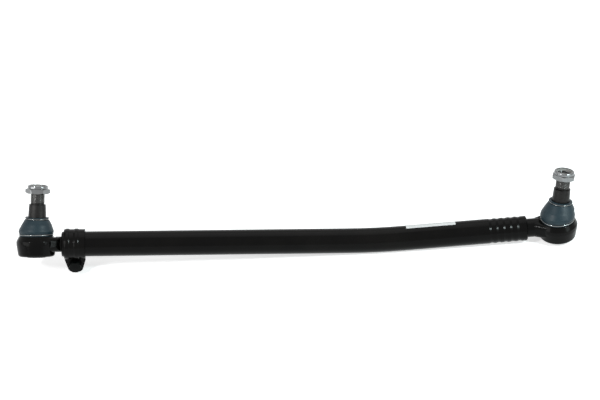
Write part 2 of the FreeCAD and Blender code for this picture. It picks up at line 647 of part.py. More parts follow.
def make_spring(side):
    """The disc spring that keeps the ball in its seats."""
    body = new_body(f"{side}_spring", JOINTS[side])
    revolve(body, "cone", [
        ("spring_inner_radius", f"{SPRING_TOP} - spring_thickness"),
        ("spring_inner_radius", SPRING_TOP),
        ("spring_outer_radius", f"{SPRING_TOP} - spring_rise"),
        ("spring_outer_radius", f"{SPRING_TOP} - spring_rise - spring_thickness"),
    ])


def make_cover(side):
    """The pressed cover that closes the housing from below."""
    body = new_body(f"{side}_cover", JOINTS[side])
    rim, floor = f"{SEAT_RADIUS} - fit_gap", f"{BASE} + cover_thickness"
    revolve(body, "dish", [
        ("0", BASE), ("cover_flat_radius", BASE), ("cover_slope_radius", COVER_FOOT), (rim, COVER_FOOT),
        (rim, COVER_TOP), (f"cover_slope_radius - {DISH_SHIFT}", COVER_TOP),
        (f"cover_flat_radius - {DISH_SHIFT}", floor), ("0", floor),
    ])


def leaned_sketch(body, name, turn):
    """An empty sketch on the body's XZ plane after a turn about the ball centre."""
    sketch = new_sketch(body, name)
    upright = place(axis=(1, 0, 0), angle=90)
    sketch.AttachmentOffset = upright.inverse() * turn * upright
    return sketch


def boot_section(body, side, name, share, height, radius):
    """A cross-section of the boot, leaning by its share of the stud's lean."""
    sketch = new_sketch(body, name, "XY_Plane")
    sketch.AttachmentOffset = lean(side, share) * place(z=number(height))
    draw_circle(sketch, radius)
    draw_circle(sketch, f"{radius} - boot_wall")
    return sketch


def boot_collar():
    """Outline of the boot's lower part: the collar with its groove, and the belly."""
    inner = "spigot_radius + soft_gap"
    groove = "lower_ring_radius - ring_wire_radius - soft_gap"
    middle = RING_HEIGHTS["lower"]
    low, high = f"({middle} - {RING_ROOM})", f"({middle} + {RING_ROOM})"
    return [
        (inner, "shoulder_height + soft_gap"), ("boot_base_radius", "shoulder_height + soft_gap"),
        ("boot_base_radius", low), (groove, low), (groove, high), ("boot_base_radius", high),
        ("boot_belly_radius", BELLY, "boot_belly_rounding"),
        ("boot_knee_radius", KNEE), ("boot_knee_radius - boot_wall", KNEE),
        ("boot_belly_radius - boot_wall", BELLY), (inner, "spigot_height + soft_gap"),
    ]


def boot_lip():
    """Outline of the boot's upper part: the end of its cone, and the lip with its groove."""
    inner = "taper_diameter / 2 + soft_gap"
    groove = "upper_ring_radius - ring_wire_radius - soft_gap"
    middle = RING_HEIGHTS["upper"]
    low, high = f"({middle} - {RING_ROOM})", f"({middle} + {RING_ROOM})"
    return [
        ("boot_waist_radius - boot_wall", WAIST), ("boot_waist_radius", WAIST),
        ("boot_lip_radius", low), (groove, low), (groove, high), ("boot_lip_radius", high),
        ("boot_lip_radius", "boot_top_height"), (inner, "boot_top_height"),
        (inner, f"{low} - boot_wall / 2"),
    ]


def make_boot(side):
    """The rubber boot from the housing's collar to the stud, bent with the stud's lean."""
    body = new_body(f"{side}_boot", JOINTS[side])
    revolve(body, "collar", boot_collar())
    lip_outline = leaned_sketch(body, "lip_outline", lean(side))
    draw_outline(lip_outline, boot_lip())
    low = boot_section(body, side, "knee", 0, KNEE, "boot_knee_radius")
    radius = "(boot_knee_radius + boot_waist_radius) / 2"
    middle = boot_section(body, side, "middle", 0.5, f"({KNEE} + {WAIST}) / 2", radius)
    high = boot_section(body, side, "waist", 1, WAIST, "boot_waist_radius")
    cone = body.newObject("PartDesign::AdditiveLoft", "cone")
    cone.Profile = low
    cone.Sections = [middle, high]
    lip = body.newObject("PartDesign::Revolution", "lip")
    lip.Profile = lip_outline
    lip.ReferenceAxis = (lip_outline, ["V_Axis"])
    lip.Angle = 360


def make_ring(side, which, placement):
    """A split wire ring round the boot."""
    body = new_body(f"{side}_boot_{which}_ring", placement)
    sketch = new_sketch(body, "wire")
    draw_circle(sketch, "ring_wire_radius", f"{which}_ring_radius", RING_HEIGHTS[which])
    ring = body.newObject("PartDesign::Revolution", "ring")
    ring.Profile = sketch
    ring.ReferenceAxis = (sketch, ["V_Axis"])
    ring.Midplane = True
    ring.setExpression("Angle", bound("360 - ring_split_angle"))


def make_stud(side):
    """The ball stud: ball, neck, flare, taper, undercut and thread."""
    body = new_body(f"{side}_stud", JOINTS[side] * lean(side))
    ball = body.newObject("PartDesign::AdditiveSphere", "ball")
    ball.setExpression("Radius", bound(BALL_RADIUS))
    ball.setExpression("Angle1", bound(f"-asin(ball_flat / {BALL_RADIUS})"))
    neck, taper, thread = "stud_neck_diameter / 2", "taper_diameter / 2", "thread_diameter / 2"
    groove = f"{thread} - undercut_depth"
    groove_top = f"{TAPER_TOP} + undercut_width"
    revolve(body, "shaft", [
        ("0", "0"), (neck, "0"), (neck, "stud_neck_height", "stud_neck_rounding"),
        (taper, "stud_flare_height", "stud_neck_rounding"), (taper, "gauge_height"),
        (f"{taper} - taper_length / taper_ratio / 2", TAPER_TOP),
        (groove, TAPER_TOP), (groove, groove_top), (thread, f"{groove_top} + undercut_depth"),
        (thread, f"{STUD_TOP} - thread_chamfer"), (f"{thread} - thread_chamfer", STUD_TOP), ("0", STUD_TOP),
    ])


def make_stud_nut(side):
    """The lock nut at the end of the stud: a hexagon and a collar that is rolled over its insert."""
    turn = number("nut_turn") if side == "right" else 0
    body = new_body(f"{side}_stud_nut", JOINTS[side] * lean(side) * place(angle=turn))
    low, collar = f"({NUT_TOP} - nut_height)", "nut_collar_diameter / 2"
    hex_prism(body, "nut_across_flats", low, "nut_hexagon_height")
    inside_hexagon = f"{low} + nut_hexagon_height / 2"
    revolve(body, "collar", [
        ("0", inside_hexagon), (collar, inside_hexagon),
        (collar, NUT_TOP, "nut_collar_rounding"), ("0", NUT_TOP),
    ])
    hole = "(thread_diameter / 2 + fit_gap)"
    threaded_hole(body, low, f"({POCKET_FLOOR} - {low})", hole, "nut_countersink")
    mouth, above = f"{POCKET_RADIUS} - nut_lip_width", f"{NUT_TOP} + {PAST}"
    revolve(body, "pocket", [
        ("0", POCKET_FLOOR), (POCKET_RADIUS, POCKET_FLOOR), (POCKET_RADIUS, POCKET_TOP), (mouth, POCKET_TOP),
        (mouth, above), ("0", above),
    ], cut=True)


def make_nut_insert(side):
    """The plastic ring in the nut's collar, which grips the thread."""
    body = new_body(f"{side}_nut_insert", JOINTS[side] * lean(side))
    hole, rim = "thread_diameter / 2 + fit_gap", f"{POCKET_RADIUS} - fit_gap"
    low, high = f"{POCKET_FLOOR} + fit_gap", f"{POCKET_TOP} - fit_gap"
    revolve(body, "ring", [(hole, low), (rim, low), (rim, high), (hole, high)])


def make_ball_joint(side):
    """All pieces of one ball joint."""
    make_housing(side)
    make_seat(f"{side}_upper_seat", side, "seat_split", "upper_seat_height")
    make_seat(f"{side}_lower_seat", side, "-lower_seat_depth", "-seat_split")
    make_spring(side)
    make_cover(side)
    make_boot(side)
    make_ring(side, "lower", JOINTS[side])
    make_ring(side, "upper", JOINTS[side] * lean(side))
    make_stud(side)
    make_stud_nut(side)
    make_nut_insert(side)


make_tube()
make_label()
make_clamp()
make_clamp_bolt()
make_clamp_nut()
make_washer("front_washer", f"({EAR_FACE} + fit_gap)")
make_washer("rear_washer", f"(-{EAR_FACE} - fit_gap - washer_thickness)")
for joint_side in ("left", "right"):
    make_ball_joint(joint_side)
doc.recompute()

failed = [item.Name for item in doc.Objects if {"Invalid", "Error"} & set(item.State)]
if failed:
    raise RuntimeError(f"these did not build: {failed}")
for part in PARTS:
    if part.Shape.isNull() or not part.Shape.isValid() or len(part.Shape.Solids) != 1:
        raise RuntimeError(f"{part.Label} is not one sound solid")

os.makedirs("parts", exist_ok=True)
for part in PARTS:
    part.Shape.exportStep(f"parts/{part.Label}.step")
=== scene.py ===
"""Looks of a truck's tie rod: paint, forged skin, rubber boots, threads, wire rings and a bare label."""

import math

import bmesh
import bpy
from bpy.props import FloatProperty, FloatVectorProperty, PointerProperty
from mathutils import Matrix, Vector
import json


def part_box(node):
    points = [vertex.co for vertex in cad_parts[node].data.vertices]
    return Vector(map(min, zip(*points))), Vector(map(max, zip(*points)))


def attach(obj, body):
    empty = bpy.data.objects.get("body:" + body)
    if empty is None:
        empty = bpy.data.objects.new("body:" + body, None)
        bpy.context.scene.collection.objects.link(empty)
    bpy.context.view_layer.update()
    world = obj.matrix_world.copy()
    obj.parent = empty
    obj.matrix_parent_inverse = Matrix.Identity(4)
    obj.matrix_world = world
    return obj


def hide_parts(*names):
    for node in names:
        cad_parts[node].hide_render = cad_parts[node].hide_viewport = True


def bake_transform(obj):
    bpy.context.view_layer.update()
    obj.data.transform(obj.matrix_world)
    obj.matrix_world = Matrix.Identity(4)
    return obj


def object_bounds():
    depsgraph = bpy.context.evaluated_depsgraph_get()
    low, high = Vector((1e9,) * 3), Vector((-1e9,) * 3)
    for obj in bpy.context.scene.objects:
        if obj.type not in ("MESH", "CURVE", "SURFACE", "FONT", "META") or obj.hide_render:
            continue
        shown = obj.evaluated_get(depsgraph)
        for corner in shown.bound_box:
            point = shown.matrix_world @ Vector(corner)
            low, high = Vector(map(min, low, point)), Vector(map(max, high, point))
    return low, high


bl_info = {
    "name": "Tie Rod",
    "version": (1, 0, 0),
    "blender": (4, 5, 0),
    "location": "View3D > Sidebar > Tie Rod",
    "description": "Dresses a truck's tie rod: paint, rubber boots, threads, wire rings, label and stage",
    "category": "Object",
}

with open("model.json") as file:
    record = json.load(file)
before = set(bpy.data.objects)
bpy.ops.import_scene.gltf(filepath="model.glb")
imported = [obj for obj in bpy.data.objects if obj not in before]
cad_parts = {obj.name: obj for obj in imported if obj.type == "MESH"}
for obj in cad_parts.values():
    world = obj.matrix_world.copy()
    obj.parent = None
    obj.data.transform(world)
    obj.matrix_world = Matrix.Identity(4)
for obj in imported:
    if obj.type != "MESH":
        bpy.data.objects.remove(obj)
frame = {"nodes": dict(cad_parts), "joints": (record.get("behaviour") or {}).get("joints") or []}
CAD_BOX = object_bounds()

SIDES = ("left", "right")
HOUSING_BODY = {"left": "left_end", "right": "rod"}
FULL_TURN = 2 * math.pi
MM = 0.001
SAME_HEIGHT = 1e-6  # metres, for points of one level
THREAD_PLAY = 0.05 * MM  # between a nut's thread and its bolt's
SPARE_TURNS = 1.5  # of a thread past each of its ends, before they are cut off
BALL_RINGS = 20  # from the stud's neck to the flat under its ball
DOME_STEP = 30  # degrees, on the rounded ends of a wire
FLOOR_HALF_WIDTH = 6  # metres
FILM_WIDTH = 36  # millimetres

# One tooth of a thread: shares of the pitch and of the depth.
TOOTH = ((0, 0), (0.2, 0), (0.5, 0.9), (0.58, 1), (0.67, 1), (0.75, 0.9))

# Radius of the round face of a nut or a bolt head for each millimetre across flats, and its bevel.
FACE_SHARE = 0.48
BEVEL_SLOPE = math.tan(math.radians(30))

# Where most values of a noise lie, and the colour sockets of a Mix node.
NOISE_RANGE = (0.3, 0.7)
COLOR_A, COLOR_B, COLOR_RESULT = 6, 7, 2

LEFT_JOINT, RIGHT_JOINT = Vector((-0.875, 0, 0.05)), Vector((0, 0, 0.05))
MIDDLE = (LEFT_JOINT + RIGHT_JOINT) / 2
WHITE, COOL_WHITE = (1, 1, 1), (0.86, 1, 1)

# Softboxes: name, power in Studio, place, what it looks at, width and height, colour.
LAMPS = (
    ("left_softbox", "left_lamp", (-2.6, -1.9, 2.4), MIDDLE, (0.5, 0.5), WHITE),
    ("right_softbox", "right_lamp", (1.1, -1.0, 1.5), MIDDLE, (0.35, 0.35), COOL_WHITE),
    ("left_fill", "left_fill", (-2.45, -0.85, 0.65), LEFT_JOINT, (1.6, 0.8), WHITE),
    ("right_fill", "right_fill", (1.16, -0.82, 0.75), LEFT_JOINT, (0.8, 0.8), COOL_WHITE),
    ("top_softbox", "top_lamp", (-0.43, 0.6, 2.0), MIDDLE, (1.6, 1.6), WHITE),
)


def millimetres(name, value, text):
    """A length property whose default is given in millimetres."""
    return FloatProperty(name=name, description=text, default=value * MM, unit="LENGTH", precision=5)


def tint(name, value, text):
    """A colour property."""
    return FloatVectorProperty(name=name, description=text, default=value, subtype="COLOR", min=0, max=1)


def share(name, value, text):
    """A property between nothing and all."""
    return FloatProperty(name=name, description=text, default=value, subtype="FACTOR", min=0, max=1)


def watts(name, value, text):
    """A lamp's power."""
    return FloatProperty(name=name, description=text, default=value, unit="POWER", min=0)


def turn(name, value, text):
    """An angle property whose default is given in degrees."""
    return FloatProperty(name=name, description=text, default=math.radians(value), subtype="ANGLE")


class StudSizes(bpy.types.PropertyGroup):
    """Sizes of the ball studs and their nuts. Heights are from the ball's centre."""

    ball_radius: millimetres("Ball Radius", 19, "Ball of the stud")
    ball_flat: millimetres("Ball Flat", 14, "Ball centre to the flat under the ball")
    neck_radius: millimetres("Neck Radius", 11, "Neck over the ball")
    neck_top: millimetres("Neck Top", 20, "Where the neck begins to flare")
    flare_top: millimetres("Flare Top", 28, "Where the flare ends")
    taper_radius: millimetres("Taper Radius", 15, "Taper at its lower end")
    taper_low: millimetres("Taper Low", 44.4, "Where the taper begins to narrow")
    taper_high: millimetres("Taper High", 67.4, "Upper end of the taper")
    taper_high_radius: millimetres("Taper High Radius", 13.85, "Taper at its upper end")
    taper_bevel: millimetres("Taper Bevel", 0.3, "Edge at the taper's upper end")
    groove_depth: millimetres("Groove Depth", 0.6, "Undercut below the thread")
    groove_width: millimetres("Groove Width", 3, "Width of the undercut")
    thread_radius: millimetres("Thread Radius", 12, "Outside of the stud's thread")
    thread_pitch: millimetres("Thread Pitch", 1.5, "Pitch of the stud's thread")
    thread_depth: millimetres("Thread Depth", 0.92, "Depth of the stud's thread")
    stud_top: millimetres("Stud Top", 93.4, "End of the stud")
    end_chamfer: millimetres("End Chamfer", 1.5, "Bevel at the end of the stud")
    nut_low: millimetres("Nut Low", 85.2, "Lower face of the lock nut")
    nut_hexagon: millimetres("Nut Hexagon", 8.8, "Height of the nut's hexagon, below the collar")
    nut_high: millimetres("Nut High", 99.4, "Upper face of the collar")
    nut_flats: millimetres("Nut Across Flats", 36, "Width of the nut across its flats")
    collar_radius: millimetres("Collar Radius", 16.8, "Round collar of the nut")
    collar_rounding: millimetres("Collar Rounding", 2.4, "Rolled upper edge of the collar")
    pocket_radius: millimetres("Pocket Radius", 14.45, "Room for the insert in the collar")
    pocket_floor: millimetres("Pocket Floor", 94.7, "Where the nut's thread ends")
    pocket_top: millimetres("Pocket Top", 98.2, "Lip over the insert")
    mouth_radius: millimetres("Mouth Radius", 13.45, "How far that lip reaches in")
    mouth_rounding: millimetres("Mouth Rounding", 0.4, "Inner edge of that lip")
    nut_countersink: millimetres("Nut Countersink", 1, "Opened mouths of the nut's thread")
    nut_turn: turn("Nut Turn", 14, "How far the right nut is turned from the left one's place")


class ClampSizes(bpy.types.PropertyGroup):
    """Sizes of the clamp bolt and its nut, from the tube's axis plane."""

    head_seat: millimetres("Head Seat", 14.6, "Seat of the bolt's head")
    head_height: millimetres("Head Height", 7.5, "Bolt's head")
    flats: millimetres("Across Flats", 18, "Width of head and nut across their flats")
    nut_height: millimetres("Nut Height", 10, "Clamp nut")
    bolt_end: millimetres("Bolt End", 4, "Bolt's end past the nut")
    bolt_radius: millimetres("Bolt Radius", 6, "Outside of the bolt's thread")
    pitch: millimetres("Pitch", 1.75, "Pitch of the bolt's thread")
    thread_depth: millimetres("Thread Depth", 1.07, "Depth of the bolt's thread")
    thread_length: millimetres("Thread Length", 22, "Threaded stretch of the bolt")
    chamfer: millimetres("Chamfer", 1, "Bevel at the end of the bolt")


class BootSizes(bpy.types.PropertyGroup):
    """Sizes of the rubber boots and their wire rings. Heights are from the ball's centre."""

    collar_inner: millimetres("Collar Inside", 25.3, "Inside of the boot's foot")
    collar_low: millimetres("Collar Low", 13.7, "Lower edge of the boot")
    collar_radius: millimetres("Collar Radius", 28.2, "Outside of the boot's foot")
    lower_groove: millimetres("Lower Groove", 26.7, "Bottom of the lower ring's groove")
    belly_radius: millimetres("Belly Radius", 29.3, "Widest part of the boot")
    belly_height: millimetres("Belly Height", 21.8, "Height of the widest part")
    knee_radius: millimetres("Knee Radius", 28.4, "Where the cone begins")
    knee_height: millimetres("Knee Height", 25.5, "Height of that place")
    waist_radius: millimetres("Waist Radius", 24.4, "Cone below the lip")
    waist_height: millimetres("Waist Height", 34.4, "Height of that place")
    lip_radius: millimetres("Lip Radius", 20, "Lip round the stud")
    lip_inner: millimetres("Lip Inside", 15.3, "Hole for the stud")
    lip_top: millimetres("Lip Top", 45.8, "Top of the boot")
    upper_groove: millimetres("Upper Groove", 17.1, "Bottom of the upper ring's groove")
    wall: millimetres("Wall", 2.5, "Wall of the boot")
    edge_rounding: millimetres("Edge Rounding", 0.5, "Edges of the foot, the grooves and the lip")
    belly_rounding: millimetres("Belly Rounding", 3, "Rounding of the widest part")
    knee_rounding: millimetres("Knee Rounding", 6, "Rounding where the cone begins")
    waist_rounding: millimetres("Waist Rounding", 5, "Rounding below the lip")
    split_height: millimetres("Split Height", 30.5, "Where the boot's two halves meet")
    split_margin: millimetres("Split Margin", 3, "From there to where each half bends")
    wire_radius: millimetres("Wire Radius", 1, "Wire of the rings")
    wire_room: millimetres("Wire Room", 0.3, "Room for the wire in its groove, on both sides")
    lower_ring_radius: millimetres("Lower Ring", 28, "Lower ring, on its wire's middle")
    lower_ring_height: millimetres("Lower Ring Height", 16.2, "Height of the lower ring")
    upper_ring_radius: millimetres("Upper Ring", 18.4, "Upper ring, on its wire's middle")
    upper_ring_height: millimetres("Upper Ring Height", 43.2, "Height of the upper ring")
    ring_opening: turn("Ring Opening", 8, "Gap between the two ends of a ring")


class Finishes(bpy.types.PropertyGroup):
    """Colours and gloss of the finishes."""

    paint: tint("Paint", (0.0013, 0.0012, 0.0011), "Black paint of tube and clamp")
    paint_worn: tint("Thin Paint", (0.0045, 0.004, 0.0035), "Where that paint is thin or dusty")
    paint_roughness: share("Paint Roughness", 0.2, "Roughness of the paint")
    forging: tint("Forging", (0.0014, 0.0014, 0.0013), "Paint on the forged housings")
    forging_roughness: share("Forging Roughness", 0.15, "Roughness of the housings' paint")
    pressed_roughness: share("Pressed Roughness", 0.4, "Roughness of the covers' paint")
    bolt: tint("Bolt", (0.0012, 0.0016, 0.0015), "Coating of bolt, nut and washers")
    rubber: tint("Rubber", (0.0095, 0.0215, 0.0295), "Boots")
    rubber_pale: tint("Rubber Bloom", (0.021, 0.037, 0.045), "Pale bloom on the boots")
    stud: tint("Stud", (0.024, 0.0236, 0.0232), "Ground and oiled steel of the studs")
    thread: tint("Thread", (0.13, 0.13, 0.127), "Rolled threads of the studs")
    zinc: tint("Zinc", (0.2, 0.206, 0.209), "Plating of the stud nuts")
    wire: tint("Wire", (0.19, 0.2, 0.2), "Wire rings")
    insert: tint("Insert", (0.34, 0.335, 0.32), "Nylon inserts of the stud nuts")
    seat: tint("Seat", (0.80, 0.78, 0.72), "Bearing plastic of the seats")
    spring: tint("Spring", (0.24, 0.24, 0.25), "Steel of the disc springs")
    label: tint("Label", (0.78, 0.78, 0.78), "Bare paper label")


class Studio(bpy.types.PropertyGroup):
    """Camera, lamps and floor."""

    elevation: turn("Camera Elevation", 32.0, "Height of the camera over the horizon")
    azimuth: turn("Camera Azimuth", -1.3, "Turn of the camera round the rod")
    roll: turn("Camera Roll", -3.03, "Turn of the picture")
    distance: FloatProperty(
        name="Camera Distance", description="Camera to its aim", default=3.2, unit="LENGTH"
    )
    view_width: FloatProperty(
        name="View Width", description="Width of the picture at its aim", default=1.0074, unit="LENGTH"
    )
    aim: FloatVectorProperty(
        name="Aim", description="Point in the middle of the picture",
        default=(-0.43083, 0.03434, 0.08395), subtype="TRANSLATION",
    )
    left_lamp: watts("Left Lamp", 55, "Power of the left softbox")
    right_lamp: watts("Right Lamp", 27, "Power of the right softbox")
    left_fill: watts("Left Fill", 10, "Power of the wide low softbox at the left")
    right_fill: watts("Right Fill", 9, "Power of the low softbox at the right")
    top_lamp: watts("Top Lamp", 8, "Power of the lamp overhead")
    world: FloatProperty(name="World", description="Strength of the even light", default=0.15, min=0)
    floor: tint("Floor", (0.86, 0.86, 0.86), "Colour of the floor")
    floor_glow: share("Floor Glow", 0.62, "How far the floor is lifted towards white in the picture")


def joint(name):
    """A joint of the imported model."""
    return next(item for item in frame["joints"] if item["name"] == name)


def lean(name):
    """How far a stud rests from the middle of its swing, in radians."""
    return -math.radians(sum(joint(name)["range_deg"]) / 2)


def axes_matrix(x, y, z, place):
    """The placement with these axes and origin."""
    matrix = Matrix((x, y, z)).transposed().to_4x4()
    matrix.translation = place
    return matrix


def housing_matrix(side):
    """Place of a housing: the ball's centre, X towards the tube and Z out of the boot."""
    across, along = joint(f"{side}_swing_across"), joint(f"{side}_swing_along")
    x = Vector(across["axis"])
    y = Matrix.Rotation(-lean(f"{side}_swing_across"), 3, x) @ Vector(along["axis"])
    return axes_matrix(x, y, x.cross(y), across["pos_m"])


def stud_matrix(side):
    """Place of a stud: the ball's centre, with Z along the stud."""
    spin = joint(f"{side}_stud_spin")
    y, z = Vector(joint(f"{side}_swing_along")["axis"]), Vector(spin["axis"])
    return axes_matrix(y.cross(z), y, z, spin["pos_m"])


def bolt_matrix():
    """Place of the clamp bolt: Z out of its head, to the front, X along the tube."""
    low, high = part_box("clamp_bolt")
    x, z = -Vector(joint("left_screw_travel")["axis"]), Vector((0, -1, 0))
    middle = (low + high) / 2
    return axes_matrix(x, z.cross(x), z, (middle.x, 0, middle.z))


class Shader:
    """A material's nodes, with short ways to add and link them."""

    def __init__(self, name):
        self.material = bpy.data.materials.new(name)
        self.material.use_nodes = True
        self.nodes = self.material.node_tree.nodes
        self.links = self.material.node_tree.links
        self.surface = self.nodes["Principled BSDF"]
        self.place = self.nodes.new("ShaderNodeTexCoord").outputs["Object"]

    def set(self, **values):
        """Fixed values on the surface's own sockets."""
        for name, value in values.items():
            socket = self.surface.inputs[name.replace("_", " ")]
            socket.default_value = (*value, 1) if socket.type == "RGBA" else value

    def noise(self, scale, detail=4.0, roughness=0.5):
        """Noise with this many features in a metre."""
        node = self.nodes.new("ShaderNodeTexNoise")
        self.links.new(self.place, node.inputs["Vector"])
        for name, value in (("Scale", scale), ("Detail", detail), ("Roughness", roughness)):
            node.inputs[name].default_value = value
        return node.outputs["Fac"]

    def map(self, source, low, high, to_low=0.0, to_high=1.0):
        """The source's stretch from low to high, laid on another."""
        node = self.nodes.new("ShaderNodeMapRange")
        self.links.new(source, node.inputs["Value"])
        for name, value in (("From Min", low), ("From Max", high), ("To Min", to_low), ("To Max", to_high)):
            node.inputs[name].default_value = value
        return node.outputs["Result"]

    def mix(self, factor, first, second):
        """A colour between two colours."""
        node = self.nodes.new("ShaderNodeMix")
        node.data_type = "RGBA"
        self.links.new(factor, node.inputs["Factor"])
        node.inputs[COLOR_A].default_value = (*first, 1)
        node.inputs[COLOR_B].default_value = (*second, 1)
        return node.outputs[COLOR_RESULT]

    def bump(self, height, strength, distance, below=None):
        """A bumped normal, on top of another one."""
        node = self.nodes.new("ShaderNodeBump")
        node.inputs["Strength"].default_value = strength
        node.inputs["Distance"].default_value = distance
        self.links.new(height, node.inputs["Height"])
        if below:
            self.links.new(below, node.inputs["Normal"])
        return node.outputs["Normal"]

    def feed(self, name, source):
        """Link a source to one of the surface's sockets."""
        self.links.new(source, self.surface.inputs[name])

    def gloss(self, noise, low, high):
        """Roughness that wanders between two values."""
        self.feed("Roughness", self.map(noise, *NOISE_RANGE, low, high))


def times(color, factor):
    """A darker or brighter colour."""
    return [factor * part for part in color]


def paint_material(name, color, pale, roughness, grain):
    """Semi-gloss black paint, with dust in it and a grain from the metal beneath."""
    shader = Shader(name)
    shader.set(Metallic=0.0, Specular_IOR_Level=0.085)
    dust = shader.map(shader.noise(9, 6, 0.6), 0.45, 0.75)
    shader.feed("Base Color", shader.mix(dust, color, pale))
    shader.gloss(shader.noise(45, 5, 0.6), roughness - 0.07, roughness + 0.09)
    coarse = shader.bump(shader.noise(grain, 3, 0.5), 0.25, 0.0004)
    shader.feed("Normal", shader.bump(shader.noise(1400, 2, 0.5), 0.12, 0.00008, coarse))
    return shader.material


def coating_material(name, color):
    """Thin dark coating of bolts, rubbed brighter in places."""
    shader = Shader(name)
    shader.set(Metallic=0.0, Specular_IOR_Level=0.08)
    rubbed = shader.map(shader.noise(160, 6, 0.65), 0.55, 0.75)
    shader.feed("Base Color", shader.mix(rubbed, color, times(color, 3)))
    shader.gloss(shader.noise(300, 4), 0.34, 0.5)
    shader.feed("Normal", shader.bump(shader.noise(1800, 2), 0.15, 0.00006))
    return shader.material


def rubber_material(name, color, pale):
    """Blue-grey rubber with a pale bloom and a dull sheen."""
    shader = Shader(name)
    shader.set(Metallic=0.0, Specular_IOR_Level=0.2)
    bloom = shader.map(shader.noise(38, 5, 0.6), 0.35, 0.72)
    shader.feed("Base Color", shader.mix(bloom, color, pale))
    shader.gloss(shader.noise(70, 4), 0.38, 0.5)
    pores = shader.bump(shader.noise(2600, 2), 0.12, 0.00005)
    shader.feed("Normal", shader.bump(shader.noise(110, 3), 0.15, 0.0005, pores))
    return shader.material


def metal_material(name, color, roughness, spots=0.15, grind=900):
    """Bare or plated steel: a fine grind, stains and uneven gloss."""
    shader = Shader(name)
    shader.set(Metallic=1.0)
    stains = shader.map(shader.noise(120, 6, 0.65), 0.4, 0.75, 0, spots)
    shader.feed("Base Color", shader.mix(stains, color, times(color, 0.35)))
    shader.gloss(shader.noise(240, 5, 0.6), *roughness)
    shader.feed("Normal", shader.bump(shader.noise(grind, 3), 0.1, 0.00008))
    return shader.material


def plain_material(name, color, roughness, grain):
    """Plastic or paper with a fine grain."""
    shader = Shader(name)
    shader.set(Metallic=0.0, Specular_IOR_Level=0.4)
    shade = shader.map(shader.noise(grain / 8, 4), *NOISE_RANGE)
    shader.feed("Base Color", shader.mix(shade, color, times(color, 0.9)))
    shader.gloss(shader.noise(grain / 4, 3), roughness, roughness + 0.1)
    shader.feed("Normal", shader.bump(shader.noise(grain, 2), 0.15, 0.00006))
    return shader.material


def dress(node, material):
    """Give a CAD node its material."""
    piece = frame["nodes"][node]
    piece.data.materials.clear()
    piece.data.materials.append(material)


def make_piece(name, mesh_builder, matrix, materials, sharp=35.0):
    """A new object from a bmesh, placed in its mesh, with edges sharper than an angle kept sharp."""
    bm = bmesh.new()
    mesh_builder(bm)
    bmesh.ops.recalc_face_normals(bm, faces=bm.faces)
    for face in bm.faces:
        face.smooth = True
    for edge in bm.edges:
        edge.smooth = edge.calc_face_angle(0) < math.radians(sharp)
    bmesh.ops.transform(bm, matrix=matrix, verts=bm.verts)
    mesh = bpy.data.meshes.new(name)
    bm.to_mesh(mesh)
    bm.free()
    for material in materials:
        mesh.materials.append(material)
    piece = bpy.data.objects.new(name, mesh)
    bpy.context.scene.collection.objects.link(piece)
    return piece


def put_on(piece, body, slot, *nodes):
    """Let a piece ride on a body in the place of its nodes."""
    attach(piece, body)
    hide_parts(*nodes)


def open_loop(bm, height):
    """The open edges that lie at a height."""
    return [
        edge for edge in bm.edges
        if edge.is_boundary and all(abs(vert.co.z - height) < SAME_HEIGHT for vert in edge.verts)
    ]


def reshape(verts, radius, height):
    """Move the verts to a radius and height round Z. Both may be functions of the angle."""
    for vert in verts:
        angle = math.atan2(vert.co.y, vert.co.x)
        far = radius(angle) if callable(radius) else radius
        up = height(angle) if callable(height) else height
        vert.co = (far * math.cos(angle), far * math.sin(angle), up)


def grow(bm, edges, rings):
    """Extend an open loop ring by ring through (radius, height)."""
    for radius, height in rings:
        made = bmesh.ops.extrude_edge_only(bm, edges=edges)["geom"]
        edges = [item for item in made if isinstance(item, bmesh.types.BMEdge)]
        reshape([item for item in made if isinstance(item, bmesh.types.BMVert)], radius, height)
    return edges


def cap(bm, edges):
    """Close an open loop with one face."""
    bmesh.ops.contextual_create(bm, geom=edges)


def cut_thread(bm, crest, root, pitch, low, high, steps, limit):
    """A thread's skin round Z from low to high, open at both ends. limit keeps its radius in bounds."""
    first, turns = low - SPARE_TURNS * pitch, math.ceil((high - low) / pitch) + int(2 * SPARE_TURNS)
    verts = [
        bm.verts.new((root + part * (crest - root), 0, first + (number + along) * pitch))
        for number in range(turns) for along, part in TOOTH
    ]
    edges = [bm.edges.new(pair) for pair in zip(verts, verts[1:])]
    bmesh.ops.spin(
        bm, geom=verts + edges, cent=(0, 0, 0), axis=(0, 0, 1), dvec=(0, 0, pitch / steps),
        angle=FULL_TURN, steps=steps, use_merge=False,
    )
    bmesh.ops.remove_doubles(bm, verts=bm.verts, dist=pitch / 100)
    for height, outer in ((high, True), (low, False)):
        bmesh.ops.bisect_plane(
            bm, geom=bm.verts[:] + bm.edges[:] + bm.faces[:], plane_co=(0, 0, height), plane_no=(0, 0, 1),
            clear_outer=outer, clear_inner=not outer,
        )
    for vert in bm.verts:
        angle, radius = math.atan2(vert.co.y, vert.co.x), vert.co.xy.length
        radius = limit(radius, vert.co.z)
        vert.co.x, vert.co.y = radius * math.cos(angle), radius * math.sin(angle)


def hexagon_radius(flats):
    """The distance of a hexagon's side from its middle, as a function of the angle from a corner."""
    return lambda angle: flats / 2 / math.cos(angle % (math.pi / 3) - math.pi / 6)


def hexagon_rings(flats, face, up):
    """The bevelled edge of a hexagonal block, from its round face's rim. up is 1 at the top and -1 below."""
    side, rim = hexagon_radius(flats), FACE_SHARE * flats
    return [(rim, face), (side, lambda angle: face - up * BEVEL_SLOPE * (side(angle) - rim))]


def arc_rings(radius, height, size, start, end, count=6):
    """Rings along an arc about (radius, height), between two angles in degrees."""
    angles = [math.radians(start + (end - start) * step / count) for step in range(count + 1)]
    return [(radius + size * math.cos(angle), height + size * math.sin(angle)) for angle in angles]


